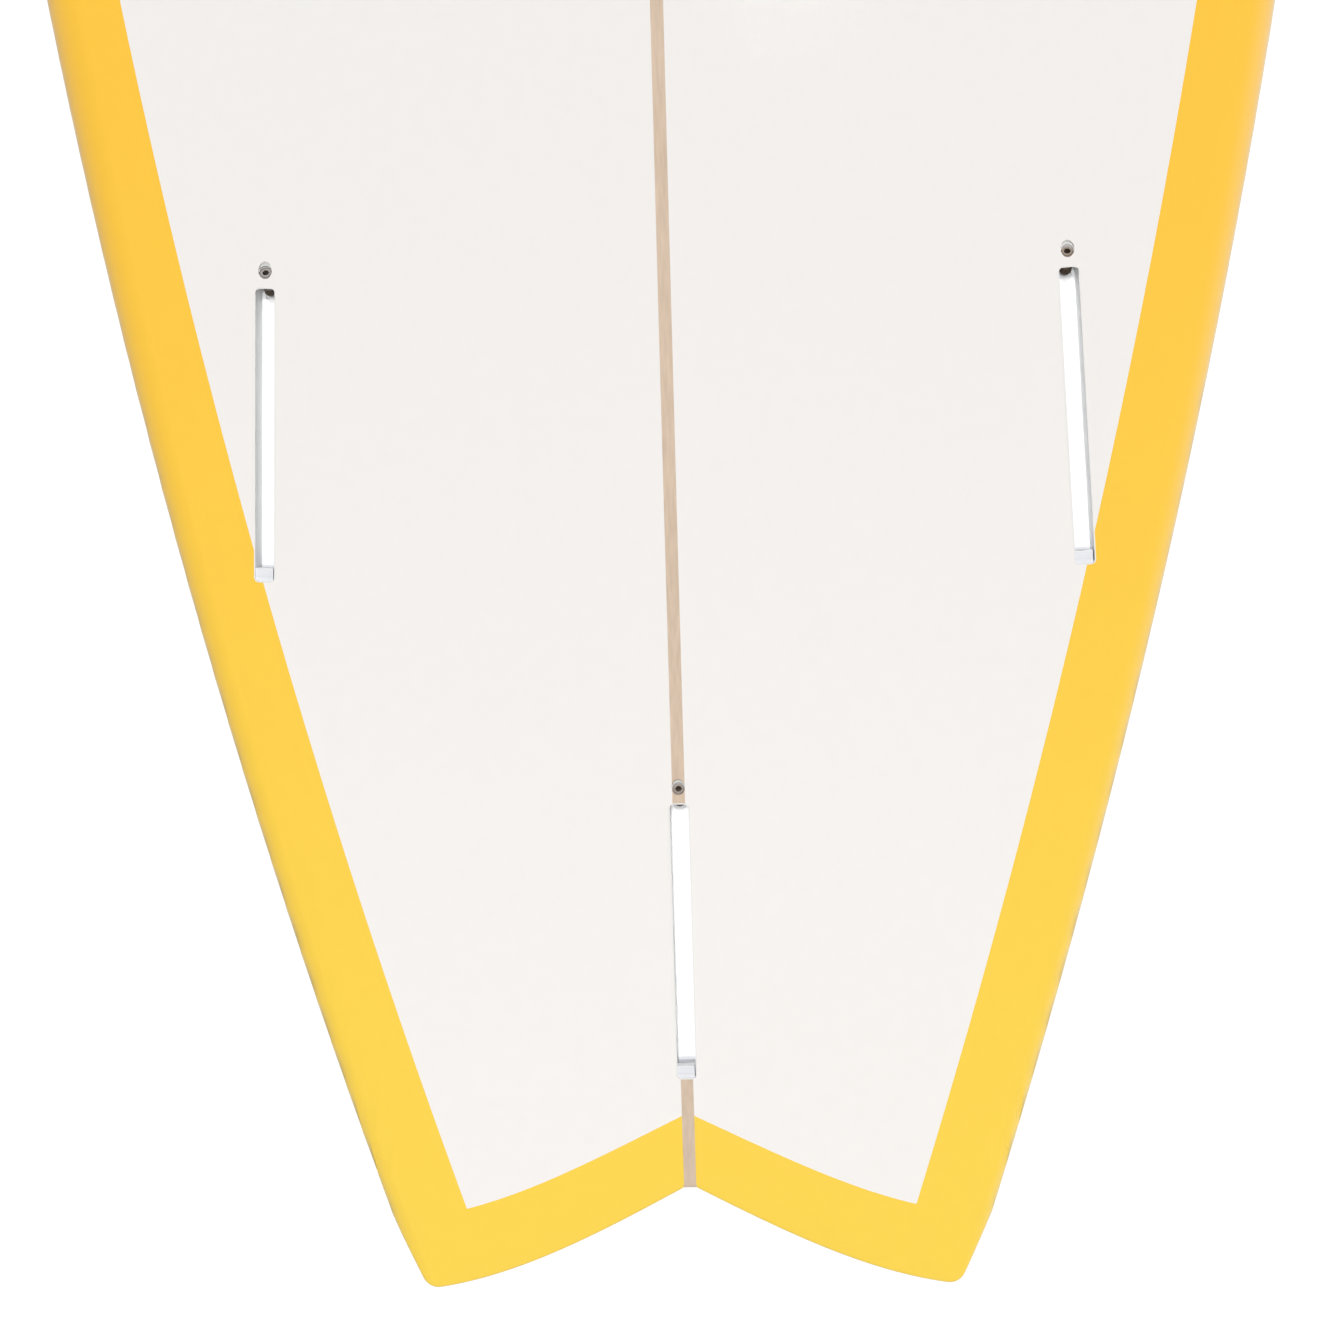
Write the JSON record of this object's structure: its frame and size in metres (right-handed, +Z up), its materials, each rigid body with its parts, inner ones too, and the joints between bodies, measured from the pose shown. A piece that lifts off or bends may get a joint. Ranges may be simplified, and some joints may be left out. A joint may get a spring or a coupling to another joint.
{
  "type": "surfboard",
  "caption": "Swallow-tail shortboard surfboard with a wood stringer, yellow rails, single-tab fin boxes with grub screws and a leash plug, lying deck down.",
  "frame": {"origin": "on the ground under the middle of the board's plan view; the board lies deck down on its nose and both tail tips", "axes": "+X to the right, +Y towards the nose, +Z up out of the bottom, the face that carries the fins"},
  "size_m": [0.542, 1.829, 0.1104],
  "materials": {
    "core_foam": "matte",
    "stringer_wood": "matte",
    "clear_glass_skin": "gloss",
    "yellow_rail": "gloss",
    "patch_glass": "satin",
    "cast_resin": "gloss",
    "box_plastic": "satin",
    "screw_steel": "satin",
    "plug_plastic": "satin",
    "pin_steel": "polished"
  },
  "bodies": {
    "board": {"foam_core_left": "core_foam", "foam_core_right": "core_foam", "stringer": "stringer_wood", "bottom_laminate": "clear_glass_skin", "deck_laminate": "clear_glass_skin", "deck_patch": "patch_glass", "rail_band_left": "yellow_rail", "rail_band_right": "yellow_rail", "fin_box_left": "box_plastic", "fin_box_right": "box_plastic", "fin_box_centre": "box_plastic", "fin_box_bed_left": "cast_resin", "fin_box_bed_right": "cast_resin", "fin_box_bed_centre": "cast_resin", "fin_patch_left": "patch_glass", "fin_patch_right": "patch_glass", "fin_patch_centre": "patch_glass", "leash_plug_cup": "plug_plastic", "leash_plug_pin": "pin_steel", "leash_plug_bed": "cast_resin"},
    "screw_left": {"fin_screw_left": "screw_steel"},
    "screw_centre": {"fin_screw_centre": "screw_steel"},
    "screw_right": {"fin_screw_right": "screw_steel"}
  },
  "joints": [
    {"name": "fin_screw_left_travel", "type": "slide", "parent": "board", "child": "screw_left", "axis": [-0.0066, -0.521, -0.8535], "range_m": [-0.006, 0.0025]},
    {"name": "fin_screw_centre_travel", "type": "slide", "parent": "board", "child": "screw_centre", "axis": [0, -0.4877, -0.873], "range_m": [-0.006, 0.0025]},
    {"name": "fin_screw_right_travel", "type": "slide", "parent": "board", "child": "screw_right", "axis": [0.0066, -0.521, -0.8535], "range_m": [-0.006, 0.0025]}
  ]
}
